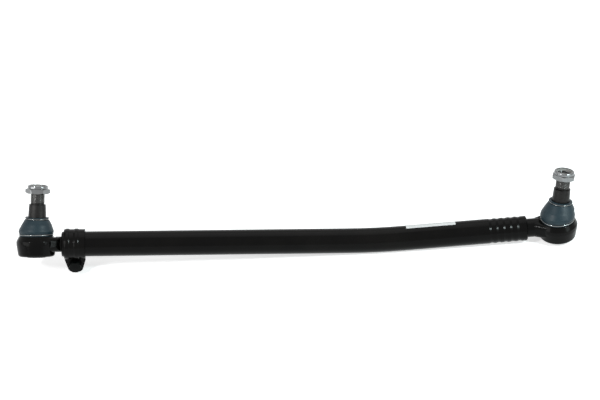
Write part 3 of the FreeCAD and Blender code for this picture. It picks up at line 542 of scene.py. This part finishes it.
def build_nut(flats, low, high, hole, depth, pitch, countersink, collar=(), steps=72):
    """A hexagonal nut, threaded from low to high. collar holds the rings from there to the hexagon."""
    def limit(radius, height):
        mouth = hole + countersink
        return max(radius, mouth - (height - low), mouth - (high - height))

    def build(bm):
        cut_thread(bm, hole - depth, hole, pitch, low, high, steps, limit)
        face = collar[-1][1] if collar else high
        upper = grow(bm, open_loop(bm, high), list(collar) + hexagon_rings(flats, face, 1))
        lower = grow(bm, open_loop(bm, low), hexagon_rings(flats, low, -1))
        bmesh.ops.bridge_loops(bm, edges=upper + lower)
    return build


def collar_rings(sizes):
    """The lock nut's collar, from the end of its thread round its lip and down to the hexagon."""
    top, lip, edge = sizes.nut_high, sizes.mouth_rounding, sizes.collar_rounding
    return [
        (sizes.pocket_radius, sizes.pocket_floor), (sizes.pocket_radius, sizes.pocket_top),
        (sizes.mouth_radius, sizes.pocket_top),
        *arc_rings(sizes.mouth_radius + lip, top - lip, lip, 180, 90),
        *arc_rings(sizes.collar_radius - edge, top - edge, edge, 90, 0),
        (sizes.collar_radius, sizes.nut_low + sizes.nut_hexagon),
    ]


def build_stud(sizes, steps=72):
    """A ball stud from its threaded end down to the flat under the ball. Its thread has material 1."""
    thread, top = sizes.thread_radius, sizes.stud_top
    groove = thread - sizes.groove_depth
    low = sizes.taper_high + sizes.groove_width

    def limit(radius, height):
        top_bevel = thread - sizes.end_chamfer + (top - height)
        return min(radius, top_bevel, max(groove, groove + (height - low)))

    def build(bm):
        cut_thread(bm, thread, thread - sizes.thread_depth, sizes.thread_pitch, low, top, steps, limit)
        cap(bm, open_loop(bm, top))
        join = math.asin(sizes.neck_radius / sizes.ball_radius)
        last = math.acos(-sizes.ball_flat / sizes.ball_radius)
        ball = [join + (last - join) * step / BALL_RINGS for step in range(BALL_RINGS + 1)]
        rings = [
            (groove, sizes.taper_high), (sizes.taper_high_radius - sizes.taper_bevel, sizes.taper_high),
            (sizes.taper_high_radius, sizes.taper_high - sizes.taper_bevel),
            (sizes.taper_radius, sizes.taper_low), (sizes.taper_radius, sizes.flare_top),
            (sizes.neck_radius, sizes.neck_top),
        ]
        rings += [(sizes.ball_radius * math.sin(a), sizes.ball_radius * math.cos(a)) for a in ball]
        cap(bm, grow(bm, open_loop(bm, low), rings))
        for face in bm.faces:
            face.material_index = int(face.calc_center_median().z > low)
    return build


def build_bolt(sizes, steps=48):
    """The clamp bolt: head, shank and thread."""
    tail = -(sizes.head_seat + sizes.nut_height + sizes.bolt_end)
    start = tail + sizes.thread_length

    def limit(radius, height):
        return min(radius, sizes.bolt_radius - sizes.chamfer + (height - tail))

    def build(bm):
        radius, top = sizes.bolt_radius, sizes.head_seat + sizes.head_height
        cut_thread(bm, radius, radius - sizes.thread_depth, sizes.pitch, tail, start, steps, limit)
        cap(bm, open_loop(bm, tail))
        edges = open_loop(bm, start)
        reshape({vert for edge in edges for vert in edge.verts}, radius, start)
        rings = [
            (radius, sizes.head_seat), *hexagon_rings(sizes.flats, sizes.head_seat, -1),
            *reversed(hexagon_rings(sizes.flats, top, 1)),
        ]
        cap(bm, grow(bm, edges, rings))
    return build


def bend_boot(side, sizes, verts):
    """Lean the boot's cone and lip with the stud, gently from the knee to the waist."""
    across, along = lean(f"{side}_swing_across"), lean(f"{side}_swing_along")
    for vert in verts:
        part = (vert.co.z - sizes.knee_height) / (sizes.waist_height - sizes.knee_height)
        part = min(max(part, 0), 1)
        smooth = part * part * (3 - 2 * part)
        leant = Matrix.Rotation(along * smooth, 3, "Y") @ vert.co
        vert.co = Matrix.Rotation(across * smooth, 3, "X") @ leant


def build_boot_half(side, sizes, outline, steps=96):
    """One half of a boot: an outline turned round Z, then leaned."""
    def build(bm):
        verts = [bm.verts.new((radius, 0, height)) for radius, height in outline]
        edges = [bm.edges.new(pair) for pair in zip(verts, verts[1:] + verts[:1])]
        bmesh.ops.spin(
            bm, geom=verts + edges, cent=(0, 0, 0), axis=(0, 0, 1),
            angle=FULL_TURN, steps=steps, use_merge=True,
        )
        bend_boot(side, sizes, bm.verts)
    return build


def rounded(corners, count=5):
    """An outline's corners (radius, height, rounding), with arcs of a few points in the rounded ones."""
    points = []
    for here, (across, up, size) in enumerate(corners):
        spot = Vector((across, up))
        if not size:
            points.append((across, up))
            continue
        back = Vector(corners[here - 1][:2]) - spot
        ahead = Vector(corners[(here + 1) % len(corners)][:2]) - spot
        half = back.angle(ahead) / 2
        run = size / math.tan(half)
        middle = spot + (back.normalized() + ahead.normalized()).normalized() * (size / math.sin(half))
        first, last = spot + back.normalized() * run - middle, spot + ahead.normalized() * run - middle
        sweep = first.angle_signed(last)
        for step in range(count + 1):
            arm = first.copy()
            arm.rotate(Matrix.Rotation(-sweep * step / count, 2))
            points.append(tuple(middle + arm))
    return points


def cone_radius(sizes, height):
    """Outside of the boot's cone at a height between knee and waist."""
    part = (height - sizes.knee_height) / (sizes.waist_height - sizes.knee_height)
    return sizes.knee_radius + part * (sizes.waist_radius - sizes.knee_radius)


def lower_outline(sizes):
    """Outline of the boot's lower half, from the split down to the foot and back inside."""
    room, split = sizes.wire_radius + sizes.wire_room, sizes.split_height
    radius, small = cone_radius(sizes, split), sizes.edge_rounding
    low, high = sizes.lower_ring_height - room, sizes.lower_ring_height + room
    return rounded([
        (radius, split, 0), (sizes.knee_radius, sizes.knee_height, sizes.knee_rounding),
        (sizes.belly_radius, sizes.belly_height, sizes.belly_rounding),
        (sizes.collar_radius, high, small),
        (sizes.lower_groove, high, small), (sizes.lower_groove, low, small),
        (sizes.collar_radius, low, small / 2), (sizes.collar_radius, sizes.collar_low, small),
        (sizes.collar_inner, sizes.collar_low, 0), (sizes.collar_inner, high, 0),
        (sizes.belly_radius - sizes.wall, sizes.belly_height, 0),
        (sizes.knee_radius - sizes.wall, sizes.knee_height, 0), (radius - sizes.wall, split, 0),
    ])


def upper_outline(sizes):
    """Outline of the boot's upper half, from the split up to the lip and back inside."""
    room, split = sizes.wire_radius + sizes.wire_room, sizes.split_height
    radius, small = cone_radius(sizes, split), sizes.edge_rounding
    low, high = sizes.upper_ring_height - room, sizes.upper_ring_height + room
    return rounded([
        (radius, split, 0), (radius - sizes.wall, split, 0),
        (sizes.waist_radius - sizes.wall, sizes.waist_height, 0),
        (sizes.lip_inner, low - sizes.wall / 2, 0), (sizes.lip_inner, sizes.lip_top, small),
        (sizes.lip_radius, sizes.lip_top, 2 * small), (sizes.lip_radius, high, small),
        (sizes.upper_groove, high, small), (sizes.upper_groove, low, small),
        (sizes.lip_radius, low, small), (sizes.waist_radius, sizes.waist_height, sizes.waist_rounding),
    ])


def build_ring(radius, height, wire, opening, steps=120, points=12):
    """A split wire ring with domed ends."""
    def build(bm):
        made = bmesh.ops.create_circle(bm, segments=points, radius=wire)["verts"]
        upright = Matrix.Translation((radius, 0, height)) @ Matrix.Rotation(math.pi / 2, 4, "X")
        start = Matrix.Rotation(opening / 2, 4, "Z")
        bmesh.ops.transform(bm, matrix=start @ upright, verts=made)
        swept = bmesh.ops.spin(
            bm, geom=bm.verts[:] + bm.edges[:], cent=(0, 0, 0), axis=(0, 0, 1),
            angle=FULL_TURN - opening, steps=steps, use_merge=False,
        )["geom_last"]
        for end, way in ((made, -1), ([item for item in swept if isinstance(item, bmesh.types.BMVert)], 1)):
            ring = set(end)
            edges = [edge for edge in bm.edges if edge.is_boundary and set(edge.verts) <= ring]
            centre = sum((vert.co for vert in end), Vector()) / len(end)
            forward = Vector((-centre.y, centre.x, 0)).normalized() * way
            for bend in (DOME_STEP, 2 * DOME_STEP):
                step = bmesh.ops.extrude_edge_only(bm, edges=edges)["geom"]
                edges = [item for item in step if isinstance(item, bmesh.types.BMEdge)]
                tip = [item for item in step if isinstance(item, bmesh.types.BMVert)]
                middle = centre + forward * wire * math.sin(math.radians(bend))
                now = sum((vert.co for vert in tip), Vector()) / len(tip)
                size = math.cos(math.radians(bend)) / math.cos(math.radians(bend - DOME_STEP))
                for vert in tip:
                    vert.co = middle + (vert.co - now) * size
            cap(bm, edges)
    return build


class TIEROD_OT_tube(bpy.types.Operator):
    """Paint the bent tube"""

    bl_idname = "tierod.tube"
    bl_label = "Tube"

    def execute(self, context):
        look = context.scene.tierod_finishes
        color, worn = look.paint, look.paint_worn
        paint = paint_material("tube_paint", color, worn, look.paint_roughness, grain=60)
        dress("tube", paint)
        return {"FINISHED"}


class TIEROD_OT_clamp(bpy.types.Operator):
    """Paint the band clamp"""

    bl_idname = "tierod.clamp"
    bl_label = "Clamp"

    def execute(self, context):
        look = context.scene.tierod_finishes
        color, worn = look.paint, look.paint_worn
        paint = paint_material("clamp_paint", color, worn, look.paint_roughness, grain=140)
        dress("clamp", paint)
        return {"FINISHED"}


class TIEROD_OT_forgings(bpy.types.Operator):
    """Paint the forged housings and their pressed covers"""

    bl_idname = "tierod.forgings"
    bl_label = "Housings and Covers"

    def execute(self, context):
        look = context.scene.tierod_finishes
        color, worn = look.forging, look.paint_worn
        forged = paint_material("forged_paint", color, worn, look.forging_roughness, grain=220)
        pressed = paint_material("pressed_paint", color, worn, look.pressed_roughness, grain=90)
        for side in SIDES:
            dress(f"{side}_housing", forged)
            dress(f"{side}_cover", pressed)
        return {"FINISHED"}


class TIEROD_OT_seats(bpy.types.Operator):
    """Finish the ball seats and disc springs inside"""

    bl_idname = "tierod.seats"
    bl_label = "Seats and Springs"

    def execute(self, context):
        look = context.scene.tierod_finishes
        plastic = plain_material("seat_plastic", look.seat, roughness=0.4, grain=900)
        steel = metal_material("spring_steel", look.spring, roughness=(0.3, 0.45))
        for side in SIDES:
            dress(f"{side}_upper_seat", plastic)
            dress(f"{side}_lower_seat", plastic)
            dress(f"{side}_spring", steel)
        return {"FINISHED"}


class TIEROD_OT_clamp_bolt(bpy.types.Operator):
    """Build the threaded clamp bolt and its nut, and coat the washers"""

    bl_idname = "tierod.clamp_bolt"
    bl_label = "Clamp Bolt, Nut and Washers"

    def execute(self, context):
        sizes = context.scene.tierod_clamp
        coat = coating_material("bolt_coat", context.scene.tierod_finishes.bolt)
        dress("front_washer", coat)
        dress("rear_washer", coat)
        bolt = make_piece("clamp_bolt_threaded", build_bolt(sizes), bolt_matrix(), [coat])
        put_on(bolt, "rod", "dark_fastener", "clamp_bolt")
        nut = build_nut(
            sizes.flats, -(sizes.head_seat + sizes.nut_height), -sizes.head_seat,
            sizes.bolt_radius + THREAD_PLAY, sizes.thread_depth, sizes.pitch, sizes.chamfer,
        )
        nut = make_piece("clamp_nut_threaded", nut, bolt_matrix(), [coat])
        put_on(nut, "rod", "dark_fastener", "clamp_nut")
        return {"FINISHED"}


class TIEROD_OT_studs(bpy.types.Operator):
    """Build the ball studs with their tapers and threads"""

    bl_idname = "tierod.studs"
    bl_label = "Studs"

    def execute(self, context):
        sizes, look = context.scene.tierod_stud, context.scene.tierod_finishes
        ground = metal_material("stud_steel", look.stud, roughness=(0.34, 0.5), spots=0.6, grind=700)
        rolled = metal_material("thread_steel", look.thread, roughness=(0.2, 0.34), spots=0.4)
        for side in SIDES:
            shape, place = build_stud(sizes), stud_matrix(side)
            stud = make_piece(f"{side}_stud_threaded", shape, place, [ground, rolled], sharp=40)
            put_on(stud, f"{side}_stud", "stud_steel", f"{side}_stud")
        return {"FINISHED"}


class TIEROD_OT_stud_nuts(bpy.types.Operator):
    """Build the bright lock nuts on the studs and finish their inserts"""

    bl_idname = "tierod.stud_nuts"
    bl_label = "Stud Nuts"

    def execute(self, context):
        sizes, look = context.scene.tierod_stud, context.scene.tierod_finishes
        zinc = metal_material("zinc_plate", look.zinc, roughness=(0.1, 0.22), spots=0.3, grind=1500)
        nylon = plain_material("insert_plastic", look.insert, roughness=0.4, grain=900)
        nut = build_nut(
            sizes.nut_flats, sizes.nut_low, sizes.pocket_floor, sizes.thread_radius + THREAD_PLAY,
            sizes.thread_depth, sizes.thread_pitch, sizes.nut_countersink, collar_rings(sizes),
        )
        turned = {"left": Matrix(), "right": Matrix.Rotation(sizes.nut_turn, 4, "Z")}
        for side in SIDES:
            piece = make_piece(f"{side}_lock_nut", nut, stud_matrix(side) @ turned[side], [zinc])
            put_on(piece, f"{side}_stud", "zinc_plate", f"{side}_stud_nut")
            dress(f"{side}_nut_insert", nylon)
        return {"FINISHED"}


class TIEROD_OT_boots(bpy.types.Operator):
    """Build the rubber boots, bent to the studs' resting lean"""

    bl_idname = "tierod.boots"
    bl_label = "Boots"

    def execute(self, context):
        sizes, look = context.scene.tierod_boot, context.scene.tierod_finishes
        rubber = rubber_material("boot_rubber", look.rubber, look.rubber_pale)
        for side in SIDES:
            home, stud = housing_matrix(side), stud_matrix(side)
            belly = build_boot_half(side, sizes, lower_outline(sizes))
            lower = make_piece(f"{side}_boot_belly", belly, home, [rubber])
            neck = build_boot_half(side, sizes, upper_outline(sizes))
            upper = make_piece(f"{side}_boot_neck", neck, home, [rubber])
            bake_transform(lower)
            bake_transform(upper)
            for half in (lower, upper):
                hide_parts(f"{side}_boot")
        return {"FINISHED"}


class TIEROD_OT_boot_rings(bpy.types.Operator):
    """Build the wire rings that hold the boots"""

    bl_idname = "tierod.boot_rings"
    bl_label = "Boot Rings"

    def execute(self, context):
        sizes, look = context.scene.tierod_boot, context.scene.tierod_finishes
        wire = metal_material("ring_wire", look.wire, roughness=(0.1, 0.2), spots=0.2, grind=1500)
        rings = {
            "lower": (sizes.lower_ring_radius, sizes.lower_ring_height, housing_matrix),
            "upper": (sizes.upper_ring_radius, sizes.upper_ring_height, stud_matrix),
        }
        for side in SIDES:
            bodies = {"lower": HOUSING_BODY[side], "upper": f"{side}_boot_lip"}
            for level, (radius, height, place) in rings.items():
                shape = build_ring(radius, height, sizes.wire_radius, sizes.ring_opening)
                ring = make_piece(f"{side}_{level}_ring_wire", shape, place(side), [wire], sharp=80)
                put_on(ring, bodies[level], "ring_wire", f"{side}_boot_{level}_ring")
        return {"FINISHED"}


class TIEROD_OT_label(bpy.types.Operator):
    """Finish the bare paper label"""

    bl_idname = "tierod.label"
    bl_label = "Label"

    def execute(self, context):
        look = context.scene.tierod_finishes
        dress("label", plain_material("label_paper", look.label, roughness=0.5, grain=1200))
        return {"FINISHED"}


def look_at(place, target):
    """The turn of a lamp or camera at a place that looks at a target."""
    return (Vector(target) - Vector(place)).to_track_quat("-Z", "Y")


def add_lamp(name, place, target, size, power, color):
    """A softbox of a width and a height."""
    lamp = bpy.data.lights.new(name, "AREA")
    lamp.shape, lamp.energy = "RECTANGLE", power
    lamp.size, lamp.size_y = size
    lamp.color = color
    holder = bpy.data.objects.new(name, lamp)
    holder.location = place
    holder.rotation_mode = "QUATERNION"
    holder.rotation_quaternion = look_at(place, target)
    bpy.context.scene.collection.objects.link(holder)


def seen_directly(tree):
    """A value of 1 for rays from the camera, from a mirror or through glass."""
    path = tree.nodes.new("ShaderNodeLightPath")
    total = path.outputs["Is Camera Ray"]
    for name in ("Is Glossy Ray", "Is Transmission Ray"):
        node = tree.nodes.new("ShaderNodeMath")
        node.operation = "MAXIMUM"
        tree.links.new(total, node.inputs[0])
        tree.links.new(path.outputs[name], node.inputs[1])
        total = node.outputs[0]
    return total


def floor_material(studio):
    """A pale floor that is lifted towards white in the picture and keeps its shadows."""
    material = bpy.data.materials.new("floor")
    material.use_nodes = True
    tree = material.node_tree
    surface = tree.nodes["Principled BSDF"]
    surface.inputs["Base Color"].default_value = (*studio.floor, 1)
    surface.inputs["Roughness"].default_value = 1
    surface.inputs["Specular IOR Level"].default_value = 0
    glow = tree.nodes.new("ShaderNodeMath")
    glow.operation = "MULTIPLY"
    glow.inputs[1].default_value = studio.floor_glow
    tree.links.new(seen_directly(tree), glow.inputs[0])
    surface.inputs["Emission Color"].default_value = (1, 1, 1, 1)
    tree.links.new(glow.outputs[0], surface.inputs["Emission Strength"])
    return material


def white_world(scene, strength):
    """Even light, with a white sky for the camera and for mirrors."""
    world = bpy.data.worlds.new("studio")
    world.use_nodes = True
    tree = world.node_tree
    level = tree.nodes.new("ShaderNodeMapRange")
    level.inputs["To Min"].default_value = strength
    level.inputs["To Max"].default_value = 1
    tree.links.new(seen_directly(tree), level.inputs["Value"])
    background = tree.nodes["Background"]
    background.inputs["Color"].default_value = (1, 1, 1, 1)
    tree.links.new(level.outputs["Result"], background.inputs["Strength"])
    scene.world = world


def add_camera(scene, studio):
    """The camera at the photograph's angle."""
    data = bpy.data.cameras.new("camera")
    data.sensor_width = FILM_WIDTH
    data.lens = data.sensor_width * studio.distance / studio.view_width
    camera = bpy.data.objects.new("camera", data)
    flat, high = math.cos(studio.elevation), math.sin(studio.elevation)
    back = Vector((math.sin(studio.azimuth) * flat, -math.cos(studio.azimuth) * flat, high))
    camera.location = Vector(studio.aim) + back * studio.distance
    upright = look_at(camera.location, studio.aim)
    camera.rotation_mode = "QUATERNION"
    camera.rotation_quaternion = upright @ Matrix.Rotation(studio.roll, 3, "Z").to_quaternion()
    scene.collection.objects.link(camera)
    scene.camera = camera


class TIEROD_OT_stage(bpy.types.Operator):
    """Build the floor, the lamps and the camera"""

    bl_idname = "tierod.stage"
    bl_label = "Stage"

    def execute(self, context):
        studio, scene = context.scene.tierod_studio, context.scene
        bm = bmesh.new()
        bmesh.ops.create_grid(bm, x_segments=1, y_segments=1, size=FLOOR_HALF_WIDTH)
        bmesh.ops.translate(bm, verts=bm.verts, vec=(studio.aim[0], 0, CAD_BOX[0].z))
        mesh = bpy.data.meshes.new("floor")
        bm.to_mesh(mesh)
        bm.free()
        mesh.materials.append(floor_material(studio))
        floor = bpy.data.objects.new("floor", mesh)
        scene.collection.objects.link(floor)
        white_world(scene, studio.world)
        for name, power, place, target, size, color in LAMPS:
            add_lamp(name, place, target, size, getattr(studio, power), color)
        add_camera(scene, studio)
        scene.view_settings.view_transform = "Standard"
        return {"FINISHED"}


OPERATORS = (
    TIEROD_OT_tube, TIEROD_OT_clamp, TIEROD_OT_forgings, TIEROD_OT_seats, TIEROD_OT_clamp_bolt,
    TIEROD_OT_studs, TIEROD_OT_stud_nuts, TIEROD_OT_boots, TIEROD_OT_boot_rings, TIEROD_OT_label,
    TIEROD_OT_stage,
)


class TIEROD_PT_panel(bpy.types.Panel):
    """The tie rod's steps in the sidebar"""

    bl_idname = "TIEROD_PT_panel"
    bl_label = "Tie Rod"
    bl_space_type = "VIEW_3D"
    bl_region_type = "UI"
    bl_category = "Tie Rod"

    def draw(self, context):
        for operator in OPERATORS:
            self.layout.operator(operator.bl_idname)


GROUPS = {
    "tierod_stud": StudSizes, "tierod_clamp": ClampSizes, "tierod_boot": BootSizes,
    "tierod_finishes": Finishes, "tierod_studio": Studio,
}


def register():
    """Make the properties, the operators and the panel known."""
    for item in (*GROUPS.values(), *OPERATORS, TIEROD_PT_panel):
        bpy.utils.register_class(item)
    for name, group in GROUPS.items():
        setattr(bpy.types.Scene, name, PointerProperty(type=group))


def unregister():
    """Take them out again."""
    for name in GROUPS:
        delattr(bpy.types.Scene, name)
    for item in (TIEROD_PT_panel, *OPERATORS, *GROUPS.values()):
        bpy.utils.unregister_class(item)


def main():
    """Run every step."""
    register()
    for operator in OPERATORS:
        group, name = operator.bl_idname.split(".")
        getattr(getattr(bpy.ops, group), name)()


if __name__ == "__main__":
    main()
